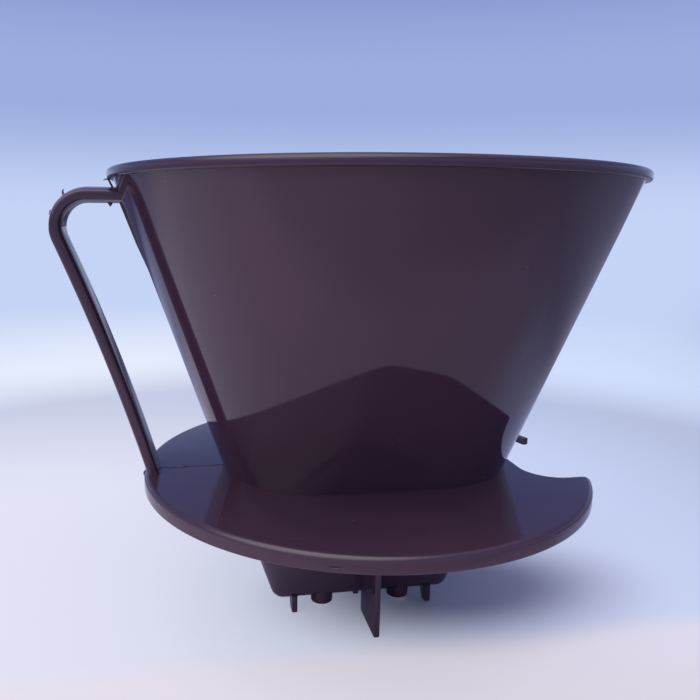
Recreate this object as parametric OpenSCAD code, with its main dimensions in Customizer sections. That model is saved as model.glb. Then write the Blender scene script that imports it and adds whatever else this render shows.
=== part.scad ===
// Cone filter holder for pour-over coffee, moulded in one piece.
// It stands on the tips of its four locating fins, at z = 0.

/* [Cone] */
// Diameter over the rim lip
rim_d = 150; // [120:1:180]
// Height of the rim above the fin tips
total_h = 137.5; // [110:0.5:160]
// Height of the trough's bottom above the fin tips
trough_rise = 4.6; // [3.6:0.1:12]
// Distance between the two end centres of the bottom trough
trough_l = 51.4; // [44:0.2:70]
// Radius of the round bottom of the trough
trough_r = 4.2; // [3.8:0.1:6]
// How much the front and back swell beyond a straight cone at the plate
side_swell = 2.5; // [0.5:0.1:6]
// How much the two ends swell beyond a straight cone at the plate
end_swell = 0.2; // [0.1:0.1:3]
// Wall thickness of the cone
wall = 1.9; // [1.4:0.1:2.4]

/* [Flow ribs] */
// How far the ribs stand out from the cone's inner face
rib_h = 0.8; // [0.4:0.1:1]
// Thickness of a rib
rib_t = 1.2; // [0.8:0.1:2]
// Height at which the ribs begin
rib_foot = 17; // [15:0.5:24]
// Height at which the ribs end
rib_top = 95; // [70:1:105]
// Distance between the upright ribs of the front and back
rib_pitch = 8.6; // [6:0.2:12]
// Angle between the ribs that fan out over each end
rib_step = 30; // [20:1:35]

/* [Rim lip] */
// How far the lip stands out from the cone
lip_out = 0.8; // [0.6:0.1:3]
// Height of the lip
lip_h = 2.6; // [2.2:0.1:4]
// Radius of the lip's upper edge
lip_round = 1.2; // [0.6:0.1:1.4]
// Radius of the lip's lower edge
lip_under = 0.5; // [0.3:0.1:0.7]

/* [Base plate] */
// Diameter of the plate that rests on the pot
plate_d = 136.6; // [120:0.2:160]
// Height of the plate's top face above the fin tips
plate_top = 50.5; // [42:0.5:60]
// Thickness of the plate
plate_t = 2.2; // [1.6:0.1:3]
// Height of the turned-down edge, from the plate's top face
skirt_h = 4.6; // [3.8:0.1:8]
// Thickness of the turned-down edge
skirt_t = 1.8; // [1.4:0.1:3]
// Radius of the plate's upper outer edge
plate_round = 1.6; // [0.4:0.1:1.7]

/* [Viewing notch] */
// Gap between the cone and the notch's inner end
notch_gap = 0.8; // [0.6:0.1:8]
// Width of the notch
notch_w = 52.6; // [30:0.2:70]
// Radius of the notch's inner corners
notch_r = 10.6; // [4:0.2:14]
// Radius of the plate's free corner beside the notch
horn_r = 2; // [0.5:0.1:5]
// How far the turned-down edge reaches back across the notch on the +Y side
finger_l = 8; // [4:0.5:14]

/* [Handle] */
// Width of the strap
strap_w = 13; // [9:0.5:18]
// Thickness of the strap on its centre line
strap_t = 4.4; // [3.2:0.1:6]
// Thickness of the strap at its edges
strap_edge = 2.3; // [1.6:0.1:3]
// How far the strap stands out beyond the rim lip
handle_out = 16.3; // [12:0.1:30]
// Depth of the strap's top below the rim
handle_drop = 4.5; // [3:0.1:10]
// Outer radius of the strap's upper corner
corner_r = 11; // [8:0.5:20]
// Distance of the strap's foot inside the plate's edge
foot_in = 3.1; // [2.8:0.1:6]
// Radius of the strap's long bow
bow_r = 640; // [500:10:900]

/* [Drip nozzles] */
// Distance between the two nozzles
nozzle_pitch = 25.8; // [18:0.2:32]
// Outer diameter of a nozzle
nozzle_d = 7.2; // [6:0.1:8]
// Diameter of a nozzle's bore
nozzle_bore = 4.2; // [2.5:0.1:4.4]
// Height of the nozzle tips above the fin tips
nozzle_tip = 2.2; // [1:0.1:3]

/* [Locating fins] */
// Thickness of a fin at its tip
fin_t = 1.7; // [1.2:0.1:3]
// Draft of a fin's two faces, in degrees
fin_draft = 0.25; // [0.1:0.05:1]
// Distance from the cone's axis to the outer edge of the long fins
fin_reach = 21.5; // [18:0.5:30]
// Gap between the trough and the inner edge of the long fins
fin_gap = 0.6; // [0.5:0.1:4]
// Distance of the short fins inside the trough's end centres
short_fin_in = 3.3; // [1:0.1:5]
// Length of the short fins
short_fin_l = 7.6; // [5:0.2:12]

/* [Hidden] */
$fn = 96;
hull_fn = 32;
corner_steps = 14;
bow_steps = 16;
lens_steps = 6;
eps = 0.02;
overlap = 1;
side_ribs = 5;
plastic = [0.22, 0.13, 0.14];
rim_r = rim_d/2;
cone_r = rim_r - lip_out;
plate_r = plate_d/2;
trough_z = trough_rise + trough_r;
trough_end = trough_l/2 + trough_r;
handle_reach = rim_r + handle_out;
axis_x = handle_out/2;

// Half length and half width of the cone at the plate: a straight cone's, and the swell
plate_share = (plate_top - trough_z)/(total_h - trough_z);
mid_u = trough_end + (cone_r - trough_end)*plate_share + end_swell;
mid_v = trough_r + (cone_r - trough_r)*plate_share + side_swell;
notch_in = mid_u + notch_gap;

// Slope of the front above the plate, and what a thickness there measures on the level
flare = (cone_r - mid_v)/(total_h - plate_top);
on_level = sqrt(1 + flare*flare);

// Half length of the cone along X at a height z above the plate
function cone_u(z) = mid_u + (cone_r - mid_u)*(z - plate_top)/(total_h - plate_top);

// Middle line of the strap: a corner arc, then a long bow that ends at the plate's edge
corner_mid_r = corner_r - strap_t/2;
corner_u = handle_reach - corner_r;
corner_z = total_h - handle_drop - corner_r;
strap_z = corner_z + corner_mid_r;
foot_u = plate_r - foot_in;
foot_z = plate_top - plate_t/2;
foot_span = norm([foot_u - corner_u, foot_z - corner_z]);
bow_span = corner_mid_r + bow_r;
lean_top = -atan2(foot_z - corner_z, foot_u - corner_u)
    - acos((bow_span*bow_span + foot_span*foot_span - bow_r*bow_r)/(2*bow_span*foot_span));
bow_u = corner_u + bow_span*cos(lean_top);
bow_z = corner_z - bow_span*sin(lean_top);
lean_foot = asin((foot_z - bow_z)/bow_r);

// Points of an arc about (cx, cy), from angle a0 to a1
function arc(cx, cy, r, a0, a1, steps) =
    [for (i = [0:steps]) let (a = a0 + (a1 - a0)*i/steps) [cx + r*cos(a), cy + r*sin(a)]];

// Loft from the round rim, over a long round-ended section at the plate, to the narrow trough.
// The faces lie the given inset inside the cone's outer ones, and the top is raised by rise.
module cone_loft(inset, rise) {
    level_in = inset*on_level;
    hull() {
        translate([0, 0, total_h + rise - eps])
            cylinder(r = cone_r - level_in + rise*flare, h = eps);
        for (side = [-1, 1]) {
            translate([side*(mid_u - mid_v), 0, plate_top])
                cylinder(r = mid_v - level_in, h = eps);
            translate([side*trough_l/2, 0, trough_z])
                sphere(r = trough_r - inset, $fn = hull_fn);
        }
    }
}

// Upright sheets that mark where the ribs run: side by side over the front and back,
// and fanned out about the trough's two end centres
module rib_sheets() {
    sheet_h = rib_top - rib_foot;
    for (k = [0:side_ribs - 1])
        translate([(k - (side_ribs - 1)/2)*rib_pitch - rib_t/2, -rim_r, rib_foot])
            cube([rib_t, rim_d, sheet_h]);
    for (side = [0, 1])
        rotate([0, 0, 180*side])
            for (k = [-2:2])
                translate([trough_l/2, 0, rib_foot])
                    rotate([0, 0, k*rib_step])
                        translate([0, -rib_t/2, 0])
                            cube([rim_r, rib_t, sheet_h]);
}

// The room inside the cone, with the ribs left standing on its wall
module cone_room() {
    difference() {
        cone_loft(wall, overlap);
        rib_sheets();
    }
    cone_loft(wall + rib_h, overlap);
}

// Bead around the rim, rounded above and below, its root in the middle of the wall
module rim_lip() {
    root_r = cone_r - wall/2;
    rotate_extrude()
        polygon(concat(
            [[root_r, total_h], [root_r - lip_h*flare, total_h - lip_h]],
            arc(rim_r - lip_under, total_h - lip_h + lip_under, lip_under, -90, 0, 4),
            arc(rim_r - lip_round, total_h - lip_round, lip_round, 0, 90, 6)
        ));
}

// Round plate with a turned-down edge
module plate_disc() {
    skirt_in = plate_r - skirt_t;
    rotate_extrude()
        polygon(concat(
            [
                [0, plate_top],
                [0, plate_top - plate_t],
                [skirt_in, plate_top - plate_t],
                [skirt_in, plate_top - skirt_h],
                [plate_r, plate_top - skirt_h]
            ],
            arc(plate_r - plate_round, plate_top - plate_round, plate_round, 0, 90, 6)
        ));
}

// Opening in the plate for looking into the pot
module notch_outline() {
    corner_y = notch_w/2 - notch_r;
    translate([notch_in + notch_r, -notch_w/2])
        square([plate_r, notch_w]);
    translate([notch_in, -corner_y])
        square([plate_r, 2*corner_y]);
    for (side = [-1, 1])
        translate([notch_in + notch_r, side*corner_y])
            circle(r = notch_r);
}

// What is taken off the plate's corner on the -Y side to round it
module horn_outline() {
    centre_y = -notch_w/2 - horn_r;
    centre_x = sqrt(pow(plate_r - horn_r, 2) - centre_y*centre_y);
    beyond = (plate_r + overlap)/(plate_r - horn_r);
    difference() {
        polygon([
            [centre_x, centre_y],
            [centre_x*beyond, centre_y*beyond],
            [plate_r, -notch_w/2],
            [plate_r, -notch_w/2 + overlap],
            [centre_x, -notch_w/2 + overlap]
        ]);
        translate([centre_x, centre_y])
            circle(r = horn_r);
    }
}

// Strip of the turned-down edge that is left standing inside the notch
module finger_outline() {
    difference() {
        intersection() {
            circle(r = plate_r + overlap);
            translate([0, notch_w/2 - finger_l])
                square([plate_r + overlap, finger_l]);
        }
        circle(r = plate_r - skirt_t);
    }
}

module base_plate() {
    low = plate_top - skirt_h - overlap;
    difference() {
        plate_disc();
        translate([0, 0, plate_top - plate_t])
            linear_extrude(plate_t + overlap)
                notch_outline();
        translate([0, 0, low])
            linear_extrude(plate_top - low)
                difference() {
                    notch_outline();
                    finger_outline();
                }
        translate([0, 0, low])
            linear_extrude(plate_top + overlap - low)
                horn_outline();
    }
}

// Stations along the strap's middle line, each [distance out, height, angle of its outer face]
function strap_line() = concat(
    [[cone_u(strap_z - strap_t/2) - wall, strap_z, 90]],
    [for (i = [0:corner_steps]) let (a = 90 - (90 + lean_top)*i/corner_steps)
        [corner_u + corner_mid_r*cos(a), corner_z + corner_mid_r*sin(a), a]],
    [for (i = [1:bow_steps]) let (a = lean_top + (lean_foot - lean_top)*i/bow_steps)
        [bow_u - bow_r*cos(a), bow_z + bow_r*sin(a), -a]]
);

// Lens-shaped section of the strap, each point [through the thickness, across the width]
function strap_section() =
    let (
        bulge = (strap_t - strap_edge)/2,
        face_r = (strap_w*strap_w/4 + bulge*bulge)/(2*bulge),
        spread = asin(strap_w/2/face_r)
    )
    concat(
        arc(strap_t/2 - face_r, 0, face_r, -spread, spread, lens_steps),
        arc(face_r - strap_t/2, 0, face_r, 180 - spread, 180 + spread, lens_steps)
    );

// Strap from the cone's wall, round the corner and down to the plate's edge:
// the section is carried along the middle line and joined ring to ring
module handle() {
    line = strap_line();
    section = strap_section();
    n = len(section);
    last = len(line) - 1;
    points = [for (s = line) for (p = section)
        [-s[0] - p[0]*cos(s[2]), p[1], s[1] + p[0]*sin(s[2])]];
    sides = [for (i = [0:last - 1]) for (k = [0:n - 1])
        let (a = i*n + k, b = i*n + (k + 1)%n)
        each [[a, b + n, b], [a, a + n, b + n]]];
    caps = [
        [for (k = [0:n - 1]) k],
        [for (k = [n - 1:-1:0]) last*n + k]
    ];
    polyhedron(points, concat(sides, caps));
}

// Upright blade that stands on its tip and grows thicker upwards, as the mould's draft needs
module blade(length, height) {
    tip = fin_t/2;
    root = tip + height*tan(fin_draft);
    rotate([90, 0, 0])
        linear_extrude(length, center = true)
            polygon([[-tip, 0], [tip, 0], [root, height], [-root, height]]);
}

// Blades that centre the holder in the mouth of a pot
module long_fins() {
    inner_y = trough_r + fin_gap;
    for (side = [-1, 1])
        translate([0, side*(inner_y + fin_reach)/2, 0])
            blade(fin_reach - inner_y, foot_z);
}

module short_fins() {
    for (side = [-1, 1])
        translate([side*(trough_l/2 - short_fin_in), 0, 0])
            blade(short_fin_l, trough_z);
}

module nozzles() {
    for (side = [-1, 1])
        translate([side*nozzle_pitch/2, 0, nozzle_tip])
            cylinder(d = nozzle_d, h = trough_z - nozzle_tip);
}

module nozzle_bores() {
    for (side = [-1, 1])
        translate([side*nozzle_pitch/2, 0, nozzle_tip - overlap])
            cylinder(d = nozzle_bore, h = trough_z - nozzle_tip + overlap);
}

module filter_holder() {
    color(plastic)
        translate([axis_x, 0, 0])
            difference() {
                union() {
                    cone_loft(0, 0);
                    rim_lip();
                    base_plate();
                    handle();
                    long_fins();
                    short_fins();
                    nozzles();
                }
                cone_room();
                nozzle_bores();
            }
}

filter_holder();
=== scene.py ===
# %% [markdown]
# # Coffee filter holder
#
# A glossy brown plastic cone that holds a paper filter over a coffee pot, moulded in one shot.
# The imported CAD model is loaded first. It fixes every size: each surface below is worked out
# from the same few lengths, in metres, with the cone's axis a little to the +X side of the
# origin and the fin tips standing on z = 0.

# %% Load the fixed frame
import math

import bmesh
import bpy
import numpy as np
from mathutils import Matrix, Vector


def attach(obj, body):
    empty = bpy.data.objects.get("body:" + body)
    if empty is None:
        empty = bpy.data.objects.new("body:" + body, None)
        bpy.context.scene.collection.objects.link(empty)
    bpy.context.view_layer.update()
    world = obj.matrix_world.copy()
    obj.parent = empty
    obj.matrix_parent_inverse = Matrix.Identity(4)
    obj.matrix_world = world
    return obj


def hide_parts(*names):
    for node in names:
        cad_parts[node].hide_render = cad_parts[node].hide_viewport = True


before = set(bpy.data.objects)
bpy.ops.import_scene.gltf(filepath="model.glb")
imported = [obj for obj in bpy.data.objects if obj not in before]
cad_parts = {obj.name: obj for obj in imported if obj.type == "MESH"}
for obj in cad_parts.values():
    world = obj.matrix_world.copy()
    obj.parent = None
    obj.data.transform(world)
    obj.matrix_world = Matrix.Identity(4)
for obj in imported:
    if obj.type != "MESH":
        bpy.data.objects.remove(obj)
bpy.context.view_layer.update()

# %% [markdown]
# The lengths of the moulding. They are the CAD model's own values, so that the smooth surfaces
# made here lie where its solids are.

# %% Lengths of the moulding
MM = 0.001
AXIS = 8.15 * MM                # the cone's axis, along X
TOP = 137.5 * MM                # height of the rim
CONE_R = 74.2 * MM              # radius of the cone itself at the rim
RIM_R = 75.0 * MM               # radius over the rim lip
LIP_H = 2.6 * MM
LIP_ROUND = 1.2 * MM            # radius of the lip's upper edge
LIP_UNDER = 0.5 * MM            # radius of its lower edge
PLATE_R = 68.3 * MM
PLATE_TOP = 50.5 * MM
PLATE_T = 2.2 * MM
SKIRT_H = 4.6 * MM
SKIRT_T = 1.8 * MM
MID_R = 29.381 * MM             # the cone's section at the plate: radius of its round ends
MID_HALF = 15.073 * MM          # and half the distance between their centres
TROUGH_Z = 8.8 * MM             # height of the trough's centre line
TROUGH_R = 4.2 * MM
TROUGH_HALF = 25.7 * MM         # half the distance between the trough's end centres
WALL = 1.9 * MM
LEVEL_WALL = 2.137 * MM         # the wall of the leaning front, measured on the level
BODY = "root"
NODE = "filter_holder"

# %% [markdown]
# Every piece is a grid of points: rows run along the shape, columns run across it. One function
# joins neighbours with faces and merges points that coincide, which closes seams and poles.

# %% Grid to mesh
def finish_mesh(name, mesh, sharp):
    """Merges points closer than a micron, turns faces outwards and keeps edges over `sharp`
    degrees hard."""
    work = bmesh.new()
    work.from_mesh(mesh)
    bmesh.ops.remove_doubles(work, verts=work.verts, dist=1e-6)
    bmesh.ops.dissolve_degenerate(work, edges=work.edges, dist=1e-7)
    bmesh.ops.recalc_face_normals(work, faces=work.faces)
    open_edges = sum(1 for e in work.edges if len(e.link_faces) != 2)
    work.to_mesh(mesh)
    work.free()
    mesh.shade_smooth()
    mesh.set_sharp_from_angle(angle=math.radians(sharp))
    obj = bpy.data.objects.new(name, mesh)
    bpy.context.scene.collection.objects.link(obj)
    print(name, len(mesh.polygons), "faces,", open_edges, "open edges")
    return obj


def mesh_piece(name, points, closed_rows=False, closed_columns=True, caps=(), sharp=40):
    """points[..., i, j, :] is the place of row i, column j. Quads join neighbours, a cap closes
    row i, and a leading axis makes several such grids in one piece."""
    blocks = points.reshape(-1, *points.shape[-3:])
    count, rows, columns = blocks.shape[:3]
    i = np.arange(rows if closed_rows else rows - 1)[:, None]
    j = np.arange(columns if closed_columns else columns - 1)[None, :]
    at = lambda a, b: (a % rows) * columns + b % columns
    quads = np.stack([at(i, j), at(i, j + 1), at(i + 1, j + 1), at(i + 1, j)], -1).reshape(-1, 4)
    quads = (quads[None] + np.arange(count)[:, None, None] * rows * columns).reshape(-1, 4)
    faces = [tuple(q) for q in quads.tolist()]
    for block in range(count):
        for row in caps:
            start = (block * rows + row % rows) * columns
            faces.append(tuple(range(start, start + columns)))
    mesh = bpy.data.meshes.new(name)
    mesh.from_pydata(blocks.reshape(-1, 3).tolist(), [], faces)
    return finish_mesh(name, mesh, sharp)


def cut_with(piece, cutter, sharp=40):
    """Takes the cutter's volume out of the piece, then removes the cutter."""
    cut = piece.modifiers.new("cut", "BOOLEAN")
    cut.operation = "DIFFERENCE"
    cut.solver = "EXACT"
    cut.object = cutter
    depsgraph = bpy.context.evaluated_depsgraph_get()
    result = bpy.data.meshes.new_from_object(piece.evaluated_get(depsgraph))
    piece.modifiers.clear()
    piece.data = result
    bpy.data.objects.remove(cutter)
    result.set_sharp_from_angle(angle=math.radians(sharp))
    return piece


def arc(cx, cy, r, start, end, steps):
    """Points on a circle about (cx, cy), from angle start to end in degrees."""
    a = np.radians(np.linspace(start, end, steps + 1))
    return np.stack([cx + r * np.cos(a), cy + r * np.sin(a)], -1)


# %% [markdown]
# The cone is a skin stretched over three shapes: the round rim, a long round-ended section at
# the plate, and the thin trough. Such a skin is made of straight lines. From each point of the
# rim one line runs to the point of the plate's section that faces the same way, and from there
# one more just touches the ball at the trough's end. Front and back have flat faces between.
# Working out these lines exactly keeps the big glossy faces free of ripples, which a coarse net
# of triangles would show.

# %% The skin between rim and trough
def skin(rim_r, mid_r, end_r, turns=90, flats=16):
    """Columns go round the cone, each facing the direction t. Gives t, the points on the rim and
    at the plate, the ball centres, and each line's lean a below the plate, from
    (mid_r - (L - M)|cos t|) cos a - H sin a = end_r, where L and M are half the straight
    lengths of the trough and of the plate's section, and H is the drop between them."""
    half_turn = np.radians(np.linspace(-90, 90, 2 * turns + 1))
    between = np.linspace(1, -1, flats + 1)[1:-1]
    flat = np.full(flats - 1, math.pi / 2)
    side = np.ones(half_turn.size)
    t = np.concatenate([half_turn, flat, half_turn + math.pi, flat + math.pi])
    centre = np.concatenate([side, between, -side, -between])
    reach = mid_r - (TROUGH_HALF - MID_HALF) * np.abs(np.cos(t))
    drop = PLATE_TOP - TROUGH_Z
    lean = np.arccos(end_r / np.hypot(reach, drop)) - np.arctan2(drop, reach)
    level = lambda half, r, z: np.stack([
        AXIS + centre * half + r * np.cos(t), r * np.sin(t), np.full(t.size, z)], -1)
    rim, mid = level(0, rim_r, TOP), level(MID_HALF, mid_r, PLATE_TOP)
    return t, rim, mid, level(TROUGH_HALF, 0, TROUGH_Z), lean


def straight_rows(low, high, shares):
    """Rows on the straight lines from low to high, at the given shares of the way."""
    k = np.asarray(shares)[:, None, None]
    return low[None] * (1 - k) + high[None] * k


def skin_rows(rim, mid, ball, t, lean, end_r, top_share):
    """All rows from the trough's bottom to `top_share` of the way from plate to rim. They lie
    closest together beside the plate, where the skin bends."""
    k = np.linspace(0, 1, 11)[:, None]
    b = -math.pi / 2 + k * (math.pi / 2 - lean)
    around = np.stack([np.cos(b) * np.cos(t), np.cos(b) * np.sin(t), np.sin(b)], -1)
    low = ball + end_r * around
    below = [*np.linspace(0, 0.96, 13)[1:], 0.99, 1]
    above = [0.005, *np.linspace(0.04, top_share, 25)]
    return np.concatenate([low, straight_rows(low[-1], mid, below), straight_rows(mid, rim, above)])


RISE = TOP - PLATE_TOP
t, rim_out, mid_out, ball_out, lean_out = skin(CONE_R, MID_R, TROUGH_R)
outer = skin_rows(rim_out, mid_out, ball_out, t, lean_out, TROUGH_R, 1 - LIP_H / RISE)
INNER_RIM_R, INNER_MID_R, INNER_END_R = CONE_R - LEVEL_WALL, MID_R - LEVEL_WALL, TROUGH_R - WALL
_, rim_in, mid_in, ball_in, lean_in = skin(INNER_RIM_R, INNER_MID_R, INNER_END_R)
INNER_STOP = 0.6 * MM           # the inner skin stops this far under the rim
inner = skin_rows(rim_in, mid_in, ball_in, t, lean_in, INNER_END_R, 1 - INNER_STOP / RISE)
front_lean = math.degrees(math.atan2(CONE_R - MID_R, RISE))
print("the front leans", round(front_lean, 1), "degrees above the plate")

# %% [markdown]
# The rim ends in a small bead: a wide rounding above, an upright band, and a small rounding
# below. Its profile is a short list of radii and heights, carried round the circle, and it
# joins the outer skin to the inner one in the same grid.

# %% Rim bead and cone wall
edge = 0.35 * MM                # rounding of the rim's inner edge
LIP_ROOT = 0.9 * MM             # how far the lip's root reaches into the wall
bead = np.concatenate([
    [[CONE_R - LIP_ROOT, TOP - LIP_H]],
    arc(RIM_R - LIP_UNDER, TOP - LIP_H + LIP_UNDER, LIP_UNDER, -90, 0, 6),
    arc(RIM_R - LIP_ROUND, TOP - LIP_ROUND, LIP_ROUND, 0, 90, 12),
    arc(INNER_RIM_R + edge, TOP - edge, edge, 90, 180, 4),
])
bead_rows = np.stack([
    AXIS + bead[:, None, 0] * np.cos(t),
    bead[:, None, 0] * np.sin(t),
    np.broadcast_to(bead[:, None, 1], (len(bead), t.size)),
], -1)
cone = mesh_piece("cone_wall", np.concatenate([outer, bead_rows, inner[::-1]]), sharp=50)

# %% [markdown]
# Two drip holes go through the trough's bottom, inside the nozzles. They are cut with two
# round rods, as the mould's core pins form them.

# %% Drip holes
HOLE_SPAN = 25.8 * MM           # between the two drip nozzles
BORE_R = 2.1 * MM


def upright(name, outline, low, high):
    """An outline of [x, y] points carried straight up from low to high."""
    o = np.asarray(outline)
    rows = np.stack([np.column_stack([o, np.full(len(o), z)]) for z in (low, high)])
    return mesh_piece(name, rows, caps=(0, 1))


for side in (-1, 1):
    pin = arc(AXIS + side * HOLE_SPAN / 2, 0, BORE_R, 0, 360, 40)[:-1]
    cut_with(cone, upright("pin", pin, 1 * MM, TROUGH_Z), sharp=50)

# %% [markdown]
# The nozzles are short tubes with a slight taper, which lets them leave the mould. Each is one
# profile turned about its own axis. Its upper end follows the trough's round wall and is buried
# in it.

# %% Drip nozzles
def turned(name, x, profile, steps=48, buried=()):
    """A closed profile of [radius, height] turned about the upright line through x. The rows
    named in `buried` lie in the trough's wall: z = trough's centre - sqrt(r^2 - y^2)."""
    a = np.radians(np.linspace(0, 360, steps + 1))[:-1]
    p = np.array(profile)
    y = p[:, None, 0] * np.sin(a)
    z = np.repeat(p[:, None, 1], steps, 1)
    middle = TROUGH_R - WALL / 2
    for row in buried:
        z[row] = TROUGH_Z - np.sqrt((middle ** 2 - y[row] ** 2).clip(0))
    rows = np.stack([x + p[:, None, 0] * np.cos(a), y, z], -1)
    return mesh_piece(name, rows, closed_rows=True)


NOZZLE_TIP = 2.2 * MM           # height of the nozzles' lower ends
NOZZLE_R = 3.5 * MM             # their outer radius just above
nozzle_profile = [
    [BORE_R, 0],
    [BORE_R, NOZZLE_TIP + 0.3 * MM],
    [BORE_R + 0.25 * MM, NOZZLE_TIP],
    [NOZZLE_R - 0.2 * MM, NOZZLE_TIP],
    [NOZZLE_R, NOZZLE_TIP + 0.2 * MM],
    [NOZZLE_R + 0.05 * MM, NOZZLE_TIP + 0.6 * MM],
    [NOZZLE_R + 0.1 * MM, 0],
]
nozzles = [
    turned(f"drip_nozzle_{k + 1}", AXIS + side * HOLE_SPAN / 2, nozzle_profile, buried=(0, -1))
    for k, side in enumerate((-1, 1))
]

# %% [markdown]
# Low ribs stand on the cone's inner face and keep the wet paper off it, so the coffee can run
# down between. On the front and back they stand side by side; over the two ends they fan out
# from the trough. Each is a thin rod with a squared-off oval section that follows the wall, and
# one half of it is sunk in.

# %% Flow ribs
RIB_H, RIB_T = 0.9 * MM, 1.2 * MM
RIB_FOOT, RIB_TOP = 17 * MM, 95 * MM
RIB_PITCH = 8.6 * MM            # from rib to rib on the front and back
RIB_FAN = 30                    # degrees from rib to rib over the two ends
RIB_FADE = 1.2 * MM             # length over which a rib sinks away at its ends


def room_section(z):
    """A level section of the room is a slot: its radius and half its straight length at z.
    Below the plate both follow the leaning lines, r = (end_r + h sin a) / cos a."""
    up = (z - PLATE_TOP) / RISE
    side_lean, end_lean = lean_in[0], lean_in[90]
    below = lambda a: (INNER_END_R + (z - TROUGH_Z) * math.sin(a)) / math.cos(a)
    end_mid = MID_HALF + INNER_MID_R
    r = np.where(up < 0, below(side_lean), INNER_MID_R + (INNER_RIM_R - INNER_MID_R) * up)
    end = np.where(up < 0, TROUGH_HALF + below(end_lean), end_mid + (INNER_RIM_R - end_mid) * up)
    return r, end - r


def flow_ribs(stations=48, around=16):
    """Each rib starts from a place on the trough's line, (x0, 0), and looks in the direction phi;
    it runs at the distance where that look meets the wall."""
    row = np.arange(5) - 2.0
    end, to_back = np.full(5, TROUGH_HALF), np.full(5, math.pi / 2)
    fan = row * math.radians(RIB_FAN)
    x0 = np.concatenate([row * RIB_PITCH, row * RIB_PITCH, end, -end])[:, None]
    phi = np.concatenate([to_back, -to_back, fan, math.pi + fan])[:, None]
    z = RIB_FOOT + (RIB_TOP - RIB_FOOT) * (0.5 - 0.5 * np.cos(np.linspace(0, math.pi, stations)))
    r, half = room_section(z)
    off = (np.abs(x0) - half).clip(0)
    far = -off * np.cos(phi) * np.sign(x0) + np.sqrt(r ** 2 - (off * np.sin(phi)) ** 2)
    a = np.linspace(0, 2 * math.pi, around, endpoint=False)
    squared = lambda v: np.sign(v) * np.abs(v) ** 0.5
    near_end = (np.minimum(z - RIB_FOOT, RIB_TOP - z) / RIB_FADE).clip(0, 1)
    fade = np.sqrt(1 - (1 - near_end) ** 2).clip(0.15)
    out = far[..., None] - RIB_H * fade[:, None] * squared(np.sin(a))
    across = RIB_T / 2 * squared(np.cos(a))
    cos, sin = np.cos(phi)[..., None], np.sin(phi)[..., None]
    return np.stack([
        AXIS + x0[..., None] + out * cos - across * sin,
        out * sin + across * cos,
        np.broadcast_to(z[:, None], out.shape),
    ], -1)


ribs = mesh_piece("flow_ribs", flow_ribs(), caps=(0, -1), sharp=60)

# %% [markdown]
# The base plate is a flat disc with a rounded, turned-down edge. It is turned as one profile.
# Then the viewing notch is cut out of it, whose near corner is rounded and on whose far side a
# short strip of the turned-down edge was left. Last, the cone's room is cut out, halfway into
# the cone's wall.

# %% Base plate
PLATE_ROUND = 1.6 * MM          # rounding of the plate's upper edge
PLATE_START = 20 * MM           # where the profile starts, inside the cone's room
skirt_in = PLATE_R - SKIRT_T
plate_profile = np.concatenate([
    [[PLATE_START, PLATE_TOP], [PLATE_START, PLATE_TOP - PLATE_T]],
    arc(skirt_in - 0.5 * MM, PLATE_TOP - PLATE_T - 0.5 * MM, 0.5 * MM, 90, 0, 3),
    arc(skirt_in + 0.2 * MM, PLATE_TOP - SKIRT_H + 0.2 * MM, 0.2 * MM, 180, 270, 2),
    arc(PLATE_R - 0.5 * MM, PLATE_TOP - SKIRT_H + 0.5 * MM, 0.5 * MM, -90, 0, 5),
    arc(PLATE_R - PLATE_ROUND, PLATE_TOP - PLATE_ROUND, PLATE_ROUND, 0, 90, 8),
])
plate = turned("base_plate", AXIS, plate_profile, 360)

NOTCH_IN = 45.25 * MM           # the notch's inner end, from the cone's axis
NOTCH_HALF = 26.3 * MM
NOTCH_R = 10.6 * MM
HORN_R = 2 * MM                 # radius of the near corner beside the notch
STRIP_Y = 18.3 * MM             # the end of the strip on the far side
STRIP_TOP = PLATE_TOP - PLATE_T
BEYOND = 80 * MM                # a radius past the plate's edge
CUT_LOW, CUT_HIGH = 40 * MM, 60 * MM    # below and above the plate


def on_circle(r, y):
    """The angle at which a circle of radius r about the axis passes the line Y = y."""
    return math.degrees(math.asin(y / r))


horn_y = -NOTCH_HALF - HORN_R
horn_angle = on_circle(PLATE_R - HORN_R, horn_y)
horn_x = (PLATE_R - HORN_R) * math.cos(math.radians(horn_angle))
corner_x = AXIS + NOTCH_IN + NOTCH_R
notch = np.concatenate([
    arc(corner_x, NOTCH_HALF - NOTCH_R, NOTCH_R, 180, 90, 16),
    arc(AXIS, 0, skirt_in, on_circle(skirt_in, NOTCH_HALF), on_circle(skirt_in, STRIP_Y), 16),
    [[AXIS + BEYOND, STRIP_Y], arc(AXIS, 0, BEYOND, horn_angle, 0, 1)[0]],
    arc(AXIS + horn_x, horn_y, HORN_R, horn_angle, 90, 8),
    arc(corner_x, NOTCH_R - NOTCH_HALF, NOTCH_R, 270, 180, 16),
])
cut_with(plate, upright("notch", notch, CUT_LOW, CUT_HIGH))
past_strip = STRIP_Y - 2 * MM
strip_from, strip_to = on_circle(skirt_in, NOTCH_HALF), on_circle(skirt_in, past_strip)
over_strip = np.concatenate([
    arc(AXIS, 0, skirt_in - 0.3 * MM, strip_from, strip_to, 8),
    [[AXIS + BEYOND, past_strip], [AXIS + BEYOND, NOTCH_HALF]],
])
cut_with(plate, upright("over_strip", over_strip, STRIP_TOP, CUT_HIGH))
MIDDLE_END_R = TROUGH_R - WALL / 2      # the core ends in the middle of the cone's wall
_, *core_skin, core_lean = skin(CONE_R - LEVEL_WALL / 2, MID_R - LEVEL_WALL / 2, MIDDLE_END_R)
core_rows = skin_rows(*core_skin, t, core_lean, MIDDLE_END_R, 0.2)
cut_with(plate, mesh_piece("core", core_rows, caps=(-1,)))

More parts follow.
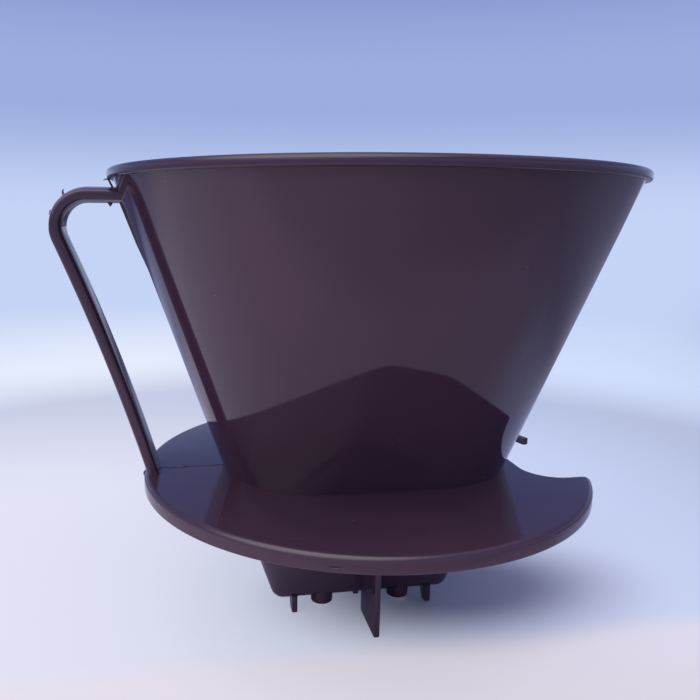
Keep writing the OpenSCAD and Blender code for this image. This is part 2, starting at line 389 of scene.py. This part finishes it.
# %% [markdown]
# The handle is a strap, thickest along its middle and thin at its edges. Its section is carried
# along a line that runs out from the wall under the rim, turns a tight corner and falls in a
# long bow to the plate's edge. A fine ridge runs along the middle of both faces, where the
# mould's halves met.

# %% Strap handle
REACH = 91.3 * MM               # of the strap, from the cone's axis
STRAP_START = 71 * MM           # the strap's middle line starts here, inside the wall
CORNER_R = 11 * MM
STRAP_W = 13 * MM
STRAP_T = 4.4 * MM              # thickness along the middle, over both ridges
STRAP_EDGE = 2.3 * MM           # thickness at the edges
EDGE_ROUND = 0.3 * MM
RIDGE_H = 0.12 * MM
RIDGE_W = 0.3 * MM
BOW_R = 640 * MM
STRAP_DROP = 4.5 * MM           # the level run's upper face, below the rim
mid_r = CORNER_R - STRAP_T / 2
corner = np.array([REACH - CORNER_R, TOP - STRAP_DROP - CORNER_R])
foot = np.array([PLATE_R - 3.1 * MM, PLATE_TOP - PLATE_T / 2])
span = np.hypot(*(foot - corner))
reach = mid_r + BOW_R
lean_top = -math.atan2(*(foot - corner)[::-1]) - math.acos(
    (reach ** 2 + span ** 2 - BOW_R ** 2) / (2 * reach * span))
bow = corner + reach * np.array([math.cos(lean_top), -math.sin(lean_top)])
lean_foot = math.asin((foot[1] - bow[1]) / BOW_R)


def end_wall(z, depth):
    """Distance from the axis to the cone's wall on the handle's side, `depth` under its face."""
    return MID_HALF + MID_R + (CONE_R - MID_HALF - MID_R) * (z - PLATE_TOP) / RISE - depth


def strap_line():
    """Stations [distance out, height, angle of the outer face] along the strap's middle line."""
    root = np.linspace(STRAP_START, corner[0], 8)[:-1]
    height, upwards = np.full(root.size, corner[1] + mid_r), np.full(root.size, math.pi / 2)
    level = np.column_stack([root, height, upwards])
    a = np.linspace(math.pi / 2, -lean_top, 73)
    turn = np.column_stack([corner[0] + mid_r * np.cos(a), corner[1] + mid_r * np.sin(a), a])
    b = np.linspace(lean_top, lean_foot, 61)[1:]
    fall = np.column_stack([bow[0] - BOW_R * np.cos(b), bow[1] + BOW_R * np.sin(b), -b])
    return np.concatenate([level, turn, fall])


def strap_section(steps=30):
    """Points [depth, width] round the section. Each face swells by 1 - |w / half width|^power:
    power 2 makes the outer one a shallow arc, and power 4 keeps the inner one flat until near
    the edges. The edges are rounded over, and a bell curve adds the ridge on both faces."""
    half_w = STRAP_W / 2
    w = np.sin(np.radians(np.linspace(-90, 90, steps + 1))) * half_w
    edge_share = ((np.abs(w) - (half_w - EDGE_ROUND)) / EDGE_ROUND).clip(0)
    faces = []
    for power in (2, 4):
        swell = ((STRAP_T - STRAP_EDGE) / 2 - RIDGE_H) * (1 - np.abs(w / half_w) ** power)
        half = (STRAP_EDGE / 2 + swell) * (1 - 0.4 * edge_share ** 2)
        faces.append(half + RIDGE_H * np.exp(-(w / RIDGE_W) ** 2))
    outer_face, inner_face = faces
    there = np.column_stack([outer_face, w])
    back = np.column_stack([-inner_face[::-1], w[::-1]])
    return np.concatenate([there, back])


line, section = strap_line(), strap_section()
strap_points = np.stack([
    AXIS - line[:, None, 0] - section[None, :, 0] * np.cos(line[:, None, 2]),
    np.broadcast_to(section[None, :, 1], (len(line), len(section))),
    line[:, None, 1] + section[None, :, 0] * np.sin(line[:, None, 2]),
], -1)
strap_points[0, :, 0] = AXIS - end_wall(strap_points[0, :, 2], 1 * MM)
strap = mesh_piece("strap_handle", strap_points, caps=(0, -1), sharp=35)
print("strap leaves the corner at", round(math.degrees(lean_top), 2), "degrees")

# %% [markdown]
# Four upright blades under the plate centre the holder in the mouth of a pot, and it stands on
# their tips. They grow a little thicker upwards, which is the mould's draft, and their edges
# are softened. The long ones would stand in the cone's room, so the core that was cut out of
# the plate is cut out of them too, and they end inside the cone's wall.

# %% Locating fins
FIN_T = 1.7 * MM                # thickness at the tip
FIN_SOFT = 0.25 * MM            # rounding of the blades' edges
DRAFT = math.tan(math.radians(0.25))


def blade(name, x, y_low, y_high, height, tip_round, slant=0):
    """An upright plate facing X: rows go up, columns round its long thin section. Its corners
    at the tip are rounded, so the section shortens there along a quarter circle; `slant` is how
    much shorter its +Y edge makes the tip."""
    z = np.concatenate([tip_round * (1 - np.cos(np.linspace(0, math.pi / 2, 7))), [height]])
    y_high = y_high - slant * (1 - z / height)
    cut = tip_round - np.sqrt((tip_round ** 2 - (tip_round - z).clip(0) ** 2).clip(0))
    soft = FIN_SOFT
    thin = soft * (1 - np.sqrt(1 - ((soft - z).clip(0) / soft) ** 2))
    half_t = (FIN_T / 2 + z * DRAFT - thin)[:, None]
    half_l = ((y_high - y_low) / 2 - cut)[:, None]
    centre = ((y_low + y_high) / 2)[:, None]
    a = np.radians(np.linspace(0, 90, 4))
    quarter = np.stack([half_t - soft * (1 - np.cos(a)), half_l - soft * (1 - np.sin(a))], -1)
    back = quarter[:, ::-1]
    ring = np.concatenate([quarter, back * [-1, 1], quarter * [-1, -1], back * [1, -1]], 1)
    level = np.repeat(z[:, None], ring.shape[1], 1)
    rows = np.dstack([AXIS + x + ring[..., 0], centre + ring[..., 1], level])
    return mesh_piece(name, rows, caps=(0, -1), sharp=30)


LONG_IN, LONG_OUT = 4.8 * MM, 21.5 * MM     # the long fins' edges, from the cone's axis
LONG_ROOT = PLATE_TOP - PLATE_T / 2         # they end inside the plate
LONG_TIP = 0.6 * MM             # rounding of their tips
SHORT_X = 22.4 * MM             # the short fins, from the cone's axis
SHORT_HALF = 3.8 * MM
SHORT_ROOT = TROUGH_Z - 2.8 * MM            # their tops, inside the trough's wall at the middle
SHORT_TIP = 0.9 * MM
SHORT_SLANT = 3.4 * MM
fins = [
    blade("long_fin_1", 0, -LONG_OUT, -LONG_IN, LONG_ROOT, LONG_TIP),
    blade("long_fin_2", 0, LONG_IN, LONG_OUT, LONG_ROOT, LONG_TIP),
]
for k, x in enumerate((-SHORT_X, SHORT_X)):
    name = f"short_fin_{k + 1}"
    fins.append(blade(name, x, -SHORT_HALF, SHORT_HALF, SHORT_ROOT, SHORT_TIP, SHORT_SLANT))
for long_fin in fins[:2]:
    cut_with(long_fin, mesh_piece("core", core_rows, caps=(-1,)), sharp=30)

# %% [markdown]
# Where the mould's halves met, a little plastic crept out between them. It left a thin web of
# flash down the cone's side by the handle, a thread and a wisp at the lip, a fine seam along the
# plate, a burr on its edge, a nub under the strap and two whiskers on the strap's corner. They
# are thin tapering rods, apart from the web, which is one thin sheet.

# %% Flash of the parting line
def rod(name, path, radii, flat=1.0, around=10):
    """A round rod along a path of [x, z] points in the plane Y = 0, with its radius given at
    each point; `flat` squeezes its section along Y."""
    p = np.asarray(path, float)
    along = np.gradient(p, axis=0)
    along = along / np.linalg.norm(along, axis=1, keepdims=True)
    a = np.linspace(0, 2 * math.pi, around, endpoint=False)
    r = np.asarray(radii, float)[:, None]
    rows = np.stack([
        p[:, None, 0] - along[:, None, 1] * r * np.cos(a),
        r * np.sin(a) * flat,
        p[:, None, 1] + along[:, None, 0] * r * np.cos(a),
    ], -1)
    return mesh_piece(name, rows, caps=(0, -1))


def by_handle(level, points):
    """Points [distance out from the axis, distance under `level`] in mm, as [x, z] on the
    handle's side."""
    return np.array([AXIS, level]) - np.array(points) * MM


def whisker(name, station, length, bend, lean):
    """A curved hair that stands on the strap's outer face at a station of its middle line. It
    starts `lean` from the face's own direction and turns by `bend` along its length."""
    out, z, angle = line[station]
    k = np.linspace(0, 1, 9)
    turn = angle + lean + bend * k
    base = np.array([out + STRAP_T / 2 * math.cos(angle), z + STRAP_T / 2 * math.sin(angle)])
    steps = length / 8 * np.column_stack([np.cos(turn), np.sin(turn)])
    path = base + np.cumsum(steps, 0) - steps[0] * 1.5
    path[:, 0] = AXIS - path[:, 0]
    radii = np.interp(k, [0, 0.25, 1], [0.55, 0.3, 0.13]) * MM
    return rod(name, path, radii, flat=0.6)


WEB_ROOT = 0.8 * MM             # how far the web reaches into the cone's wall
WEB_UNDER = np.array([29, 20, 8]) * MM      # distances under the rim
WEB_OUT = np.array([0, 0.7, 1.0]) * MM      # and how far the web stands out there
web_z = np.linspace(TOP - 6 * MM, TOP - 29 * MM, 25)
web_out = np.interp(web_z, TOP - WEB_UNDER, WEB_OUT)
web_share = np.array([-1, 0.75, 1, 0.75, -1])
web_y = np.array([0.25, 0.14, 0, -0.14, -0.25]) * MM
web_x = np.where(web_share < 0, -WEB_ROOT, web_out[:, None] * web_share)
web = mesh_piece("parting_web", np.stack([
    AXIS - end_wall(web_z[:, None], 0) - web_x,
    np.broadcast_to(web_y, web_x.shape),
    np.broadcast_to(web_z[:, None], web_x.shape),
], -1), caps=(0, -1))

SEAM_START, SEAM_END = -64.2, -44.0         # in mm from the cone's axis, along X
SEAM_R = 0.13                               # its radius, also in mm
SEAM_LUMPS = [(-59.6, 0.16, 0.5), (-56.6, 0.2, 1.1)]    # place, height and half width of each
seam_x = np.linspace(SEAM_START, SEAM_END, 41)
seam_r = np.full(seam_x.size, SEAM_R)
for lump, height, half in SEAM_LUMPS:
    seam_r += height * np.exp(-((seam_x - lump) / half) ** 2)
seam_z = np.full(seam_x.size, PLATE_TOP + 0.02 * MM)
seam = rod("plate_seam", np.column_stack([AXIS + seam_x * MM, seam_z]), seam_r * MM)

nub_path = by_handle(TOP - STRAP_DROP - STRAP_T, [[74.6, k] for k in (-0.5, 0.1, 0.5, 0.9)])
nub = rod("strap_nub", nub_path, np.array([0.75, 0.65, 0.4, 0.15]) * MM, flat=0.7)
thread_path = by_handle(TOP, [[75.0, 2.3], [74.5, 3.1], [73.5, 5.3]])
thread = rod("lip_thread", thread_path, np.array([0.3, 0.27, 0.3]) * MM)
wisp_path = by_handle(TOP, [[74.7, 2.1], [75.5, 2.5], [76.2, 2.8]])
wisp = rod("lip_wisp", wisp_path, np.array([0.22, 0.17, 0.1]) * MM)
burr_path = by_handle(PLATE_TOP, [[PLATE_R / MM - 0.3, k] for k in (0.6, 1.0, 1.6, 2.2, 2.6)])
burr = rod("plate_burr", burr_path, np.array([0.2, 0.55, 0.65, 0.5, 0.2]) * MM, flat=0.5)
flash = [
    web, seam, nub, thread, wisp, burr,
    whisker("whisker_1", station=31, length=1.6 * MM, bend=1.0, lean=0.1),
    whisker("whisker_2", station=53, length=1.2 * MM, bend=0.4, lean=1.05),
]

# %% [markdown]
# A finish is a formula over the surface, and in Blender each part of such a formula is a node.
# This small class lets Python's own signs write it: a sum or a product of two values adds its
# Math node.

# %% Shader maths
class Shade:
    """One output of the node tree. Python's operators add the Math nodes for it."""

    def __init__(self, tree, socket):
        self.tree = tree
        self.socket = socket

    def node(self, kind, settings=(), **inputs):
        """Any node: its settings, then its sockets, by number as i0, i1 or by name."""
        made = self.tree.nodes.new(kind)
        for key, value in dict(settings).items():
            setattr(made, key, value)
        for key, value in inputs.items():
            by_number = key[0] == "i" and key[1:].isdigit()
            slot = made.inputs[int(key[1:])] if by_number else made.inputs[key.replace("_", " ")]
            if isinstance(value, Shade):
                self.tree.links.new(value.socket, slot)
            else:
                slot.default_value = value
        return made

    def value(self, kind, out=0, settings=(), **inputs):
        """One output of such a node, as a Shade."""
        return Shade(self.tree, self.node(kind, settings, **inputs).outputs[out])

    def math(self, operation, *values):
        slots = {f"i{k}": v for k, v in enumerate(values)}
        return self.value("ShaderNodeMath", 0, {"operation": operation}, **slots)

    def __add__(self, other):
        return self.math("ADD", self, other)

    def __radd__(self, other):
        return self.math("ADD", other, self)

    def __sub__(self, other):
        return self.math("SUBTRACT", self, other)

    def __rsub__(self, other):
        return self.math("SUBTRACT", other, self)

    def __mul__(self, other):
        return self.math("MULTIPLY", self, other)

    def __rmul__(self, other):
        return self.math("MULTIPLY", other, self)

    def step(self, low, high):
        """0 below low, 1 above high, smooth between."""
        ease = {"interpolation_type": "SMOOTHSTEP"}
        return self.value("ShaderNodeMapRange", 0, ease, i0=self, i1=low, i2=high)

    def mix(self, one, two):
        """Colour one where this is 0, colour two where it is 1."""
        return self.value("ShaderNodeMix", 2, {"data_type": "RGBA"}, i0=self, i6=one, i7=two)

    def noise(self, place, scale, detail):
        return self.value("ShaderNodeTexNoise", 0, Vector=place, Scale=scale, Detail=detail)

    def distance(self, place, centre, stretch=(1, 1, 1)):
        """How far a point lies from the centre, with each axis weighed by stretch."""
        weigh = {"operation": "MULTIPLY"}
        gap = self.value("ShaderNodeVectorMath", 0, {"operation": "SUBTRACT"}, i0=place, i1=centre)
        gap = self.value("ShaderNodeVectorMath", 0, weigh, i0=gap, i1=stretch)
        return self.value("ShaderNodeVectorMath", 1, {"operation": "LENGTH"}, i0=gap)

    def feed(self, shader, name):
        self.tree.links.new(self.socket, shader.inputs[name])


def new_material(name):
    """A material, the helper that adds its nodes, its main shader, and a point's own place."""
    material = bpy.data.materials.new(name)
    material.use_nodes = True
    tree = material.node_tree
    here = Shade(tree, None)
    return material, here, tree.nodes["Principled BSDF"], here.value("ShaderNodeTexCoord", 3)


# %% [markdown]
# The plastic is a deep brown, glossy polystyrene. Its colour is nearly even, so what makes it
# look real is the gloss: a low roughness with faint wipe marks, a slow waviness that bends
# reflections a little, and a few specks of dust. The small sunk mark on the plate's front edge
# is where the plastic was let into the mould; the shade in it is painted as a darker colour.

# %% Brown plastic
BROWN, LIGHTER_BROWN = (0.051, 0.026, 0.046, 1), (0.062, 0.031, 0.055, 1)
# Painted shade: the dark colour laid into the sunk mark.
GATE_PAINTED_SHADE = (0.014, 0.008, 0.010, 1)   # in the sunk mark
DUST_GREY = (0.22, 0.19, 0.20, 1)
GATE_PLACE = (AXIS - 23.2 * MM, -64.2 * MM, 47.5 * MM)
GATE_STRETCH = (1, 1, 3.4)              # the mark is 3.4 times as wide as it is high
GATE_DEPTH = 0.12 * MM
WAVE_H = 0.22 * MM                      # height of the slow waviness
GRAIN_H = 0.0012 * MM                   # height of the finest grain
GLOSS = 0.06                            # roughness of the clean plastic
plastic, plastic_nodes, shader, place = new_material("brown_plastic")
shader.inputs["IOR"].default_value = 1.56
cloud = plastic_nodes.noise(place, scale=18.0, detail=3.0)
tint = cloud.step(0.3, 0.72).mix(BROWN, LIGHTER_BROWN)
gate = plastic_nodes.distance(place, GATE_PLACE, GATE_STRETCH)
# The mask of the sunk mark: it sets both its dent and its painted shade.
gate_dent_and_shade = 1 - gate.step(0.8 * MM, 1.7 * MM)
# Painted shade: the sunk mark's colour is darkened here.
tint = (gate_dent_and_shade * 0.95).mix(tint, GATE_PAINTED_SHADE)
cell = {"feature": "F1"}
dust_cells = plastic_nodes.value("ShaderNodeTexVoronoi", 0, cell, Vector=place, Scale=260.0)
dust_here = plastic_nodes.noise(place, scale=140.0, detail=0.0)
dust = (1 - dust_cells.step(0.035, 0.07)) * dust_here.step(0.66, 0.70)
colour = (dust * 0.35).mix(tint, DUST_GREY)
colour.feed(shader, "Base Color")
wipe = plastic_nodes.noise(place, scale=70.0, detail=6.0)
rough = GLOSS + wipe.step(0.45, 0.8) * 0.05 + dust * 0.3
rough.feed(shader, "Roughness")
waves = plastic_nodes.noise(place, scale=22.0, detail=1.5) * WAVE_H
grain = plastic_nodes.noise(place, scale=900.0, detail=2.0) * GRAIN_H
height = waves + grain - gate_dent_and_shade * GATE_DEPTH
bump = plastic_nodes.value("ShaderNodeBump", 0, i0=1.0, i1=1.0, Height=height)
bump.feed(shader, "Normal")

# %% [markdown]
# Each piece is part of the same moulding: it takes the plastic, rides on the holder's one body
# and stands for the CAD solid, which then isn't shown.

# %% Dress and fix the pieces
pieces = [cone, ribs, plate, strap, *nozzles, *fins, *flash]
for piece in pieces:
    piece.data.materials.clear()
    piece.data.materials.append(plastic)
    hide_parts(NODE)
    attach(piece, BODY)

# %% [markdown]
# The holder stands on a pale worktop in plain soft light. The floor is one wide disc whose
# colour fades into the backdrop with distance, so no hard horizon crosses the picture. Its
# surface is paler by the holder, warmer at the front on the handle's side and darker far off,
# with a shadow painted into its colour under the plate. A share of glow is mixed in where the
# camera looks, less of it in the painted shadow, so that the worktop shows pale while the
# plastic's reflections of it stay dark.

# %% Floor surface
RECEDING = (0.16, 0.18, 0.42, 1)        # behind the holder
FAR_BACK = (0.03, 0.03, 0.09, 1)        # well behind it
FAR_RIGHT = (0.20, 0.20, 0.28, 1)       # off to the notch's side
# Painted shadow: a dark pool in the floor's colour under the plate, beside the fins.
PAINTED_SHADOW = (0.30, 0.30, 0.42, 1)           # in the pool of shade under the plate
PAINTED_SHADOW_CENTRE, PAINTED_SHADOW_STRETCH = (0.045, 0.004, 0), (0.55, 1, 1)
rings = np.concatenate([[0.0], np.geomspace(0.05, 6, 60)])[:, None]
angles = np.radians(np.arange(0, 360, 4))
flat_disc = np.stack([
    rings * np.cos(angles),
    rings * np.sin(angles),
    np.zeros((rings.size, angles.size)),
], -1)
floor = mesh_piece("worktop", flat_disc)
floor_finish, floor_nodes, floor_shader, spot = new_material("pale_worktop")
split = floor_nodes.node("ShaderNodeSeparateXYZ", i0=spot).outputs
spot_x, spot_y = (Shade(floor_nodes.tree, socket) for socket in split[:2])
sideways = spot_x.step(-0.12, 0.20)     # from the handle's side to the notch's side
pale = sideways.mix((0.78, 0.72, 0.82, 1), (0.60, 0.66, 0.92, 1))
front = sideways.mix((0.80, 0.62, 0.72, 1), (0.40, 0.38, 0.50, 1))
outer_front = sideways.mix((0.52, 0.42, 0.44, 1), (0.26, 0.24, 0.30, 1))
front = spot_y.step(-0.11, -0.15).mix(front, outer_front)
surface = spot_y.step(-0.03, -0.08).mix(pale, front)
surface = spot_y.step(0.10, 0.30).mix(surface, RECEDING)
beyond = spot_y.step(0.45, 0.80)
surface = beyond.mix(surface, FAR_BACK)
far_right = spot_x.step(0.11, 0.26)
surface = far_right.mix(surface, FAR_RIGHT)
# The painted shadow's mask: 0 at its centre, 1 outside it; the colour darkens towards the centre.
outside_painted_shadow = floor_nodes.distance(spot, PAINTED_SHADOW_CENTRE, PAINTED_SHADOW_STRETCH).step(0.010, 0.045)
surface = outside_painted_shadow.mix(PAINTED_SHADOW, surface)
surface.feed(floor_shader, "Base Color")
floor_shader.inputs["Roughness"].default_value = 0.55

# %% [markdown]
# The backdrop is a glow without a surface. The floor fades to it far off and the world carries
# it on upwards, so both use the same colours, given here by height.

# %% Backdrop colours and the floor's glow
LEVEL_GLOW = (0.56, 0.655, 0.92, 1)     # at eye level
SIDE_GLOW = (0.20, 0.235, 0.42, 1)      # at eye level, well to either side and behind
MIDDLE_GLOW = (0.33, 0.42, 0.74, 1)     # a little higher
HIGH_GLOW = (0.14, 0.20, 0.50, 1)       # near the picture's upper edge and above
ZENITH_GLOW = (0.50, 0.47, 0.55, 1)     # overhead
BEHIND = (0.17, 0.985, 0.0)             # the direction of the backdrop's pale middle
NEAR_GLOW_LEFT, NEAR_GLOW_RIGHT = (0.84, 0.89, 1.0, 1), (0.66, 0.75, 1.0, 1)
FRONT_GLOW = (0.92, 0.86, 0.93, 1)
MIRRORED_SHARE = 0.35                   # of the glow that reflections see
# The camera's glow is kept low inside the painted shadow, so that it stays dark.
GLOW_IN_PAINTED_SHADOW, OPEN_SHARE = 0.03, 0.58    # of the glow in the shade, and what is added outside it


def eye_level(nodes, direction):
    """The backdrop at eye level: pale near BEHIND, darker as the direction turns away."""
    operation = {"operation": "DOT_PRODUCT"}
    behind = nodes.value("ShaderNodeVectorMath", 1, operation, i0=direction, i1=BEHIND)
    return behind.step(0.55, 0.87).mix(SIDE_GLOW, LEVEL_GLOW)


from_middle = floor_nodes.distance(spot, (0, 0, 0))
far = from_middle.step(0.12, 0.45)
outward = floor_nodes.value("ShaderNodeVectorMath", 0, {"operation": "NORMALIZE"}, i0=spot)
near_glow = sideways.mix(NEAR_GLOW_LEFT, NEAR_GLOW_RIGHT)
backdrop = from_middle.step(0.25, 0.9).mix(near_glow, eye_level(floor_nodes, outward))
near_glow = spot_y.step(-0.021, -0.034).mix(near_glow, FRONT_GLOW)
glow = floor_nodes.node("ShaderNodeEmission", i0=far.mix(near_glow, backdrop), i1=1.0)
rays = floor_nodes.node("ShaderNodeLightPath").outputs
by_camera, by_gloss, by_glass = (
    Shade(floor_nodes.tree, rays[name])
    for name in ("Is Camera Ray", "Is Glossy Ray", "Is Transmission Ray")
)
mirrored = floor_nodes.math("MAXIMUM", by_gloss, by_glass)
dim = (1 - beyond) * (1 - far_right * 0.6)
seen = floor_nodes.math("MAXIMUM", by_camera, mirrored * dim * MIRRORED_SHARE)
# Less glow inside the painted shadow.
fill = (GLOW_IN_PAINTED_SHADOW + outside_painted_shadow * OPEN_SHARE) * by_camera
blend = floor_nodes.node("ShaderNodeMixShader", i0=floor_nodes.math("MAXIMUM", far * seen, fill))
floor_nodes.tree.links.new(floor_shader.outputs[0], blend.inputs[1])
floor_nodes.tree.links.new(glow.outputs[0], blend.inputs[2])
output = floor_nodes.tree.nodes["Material Output"]
floor_nodes.tree.links.new(blend.outputs[0], output.inputs[0])
floor.data.materials.append(floor_finish)

# %% [markdown]
# All the light comes from the world: the backdrop's colours by height, and one broad soft light
# high at the front on the handle's side, which is a bright spot in the sky that fades outwards.

# %% World
SOFT_LIGHT = (2.4, 2.3, 2.35, 1)
SOFT_LIGHT_FROM = Vector((-0.42, -0.42, 0.80)).normalized()
world = bpy.data.worlds.new("studio")
bpy.context.scene.world = world
world.use_nodes = True
sky_nodes = Shade(world.node_tree, None)
direction = sky_nodes.value("ShaderNodeTexCoord", 0)
split = sky_nodes.node("ShaderNodeSeparateXYZ", i0=direction).outputs
level = Shade(sky_nodes.tree, split[2])
sky = eye_level(sky_nodes, direction)
sky = level.step(0.0, 0.15).mix(sky, MIDDLE_GLOW)
sky = level.step(0.18, 0.38).mix(sky, HIGH_GLOW)
sky = level.step(0.5, 0.95).mix(sky, ZENITH_GLOW)
dot = {"operation": "DOT_PRODUCT"}
facing = sky_nodes.value("ShaderNodeVectorMath", 1, dot, i0=direction, i1=SOFT_LIGHT_FROM)
sky = facing.step(0.62, 1.0).mix(sky, SOFT_LIGHT)
background = world.node_tree.nodes["Background"]
sky.feed(background, "Color")
background.inputs["Strength"].default_value = 1.0

# %% [markdown]
# The camera stands a little to the handle's side, just under the rim's level and looking down.
# Its place was worked out from the photograph's own outlines, with the rim and the plate taken
# as true circles. The shift moves the frame over the holder without turning the camera.

# %% Camera
CAMERA_PLACE = (-0.04804, -0.20928, 0.12488)
CAMERA_RIGHT = np.array([0.9850, -0.1725, 0.0093])
CAMERA_FORWARD = np.array([0.1706, 0.9625, -0.2109])
right = CAMERA_RIGHT / np.linalg.norm(CAMERA_RIGHT)
forward = CAMERA_FORWARD - right * (CAMERA_FORWARD @ right)
forward = forward / np.linalg.norm(forward)
matrix = np.eye(4)
matrix[:3, 0] = right
matrix[:3, 1] = np.cross(right, forward)
matrix[:3, 2] = -forward
matrix[:3, 3] = CAMERA_PLACE
camera_data = bpy.data.cameras.new("camera")
camera = bpy.data.objects.new("camera", camera_data)
bpy.context.scene.collection.objects.link(camera)
camera.matrix_world = Matrix(matrix.tolist())
camera_data.sensor_width = 36
camera_data.lens = 36.537
camera_data.shift_x = 0.0640
camera_data.shift_y = 0.0313
camera_data.clip_start = 0.01
bpy.context.scene.camera = camera
bpy.context.scene.view_settings.view_transform = "Standard"
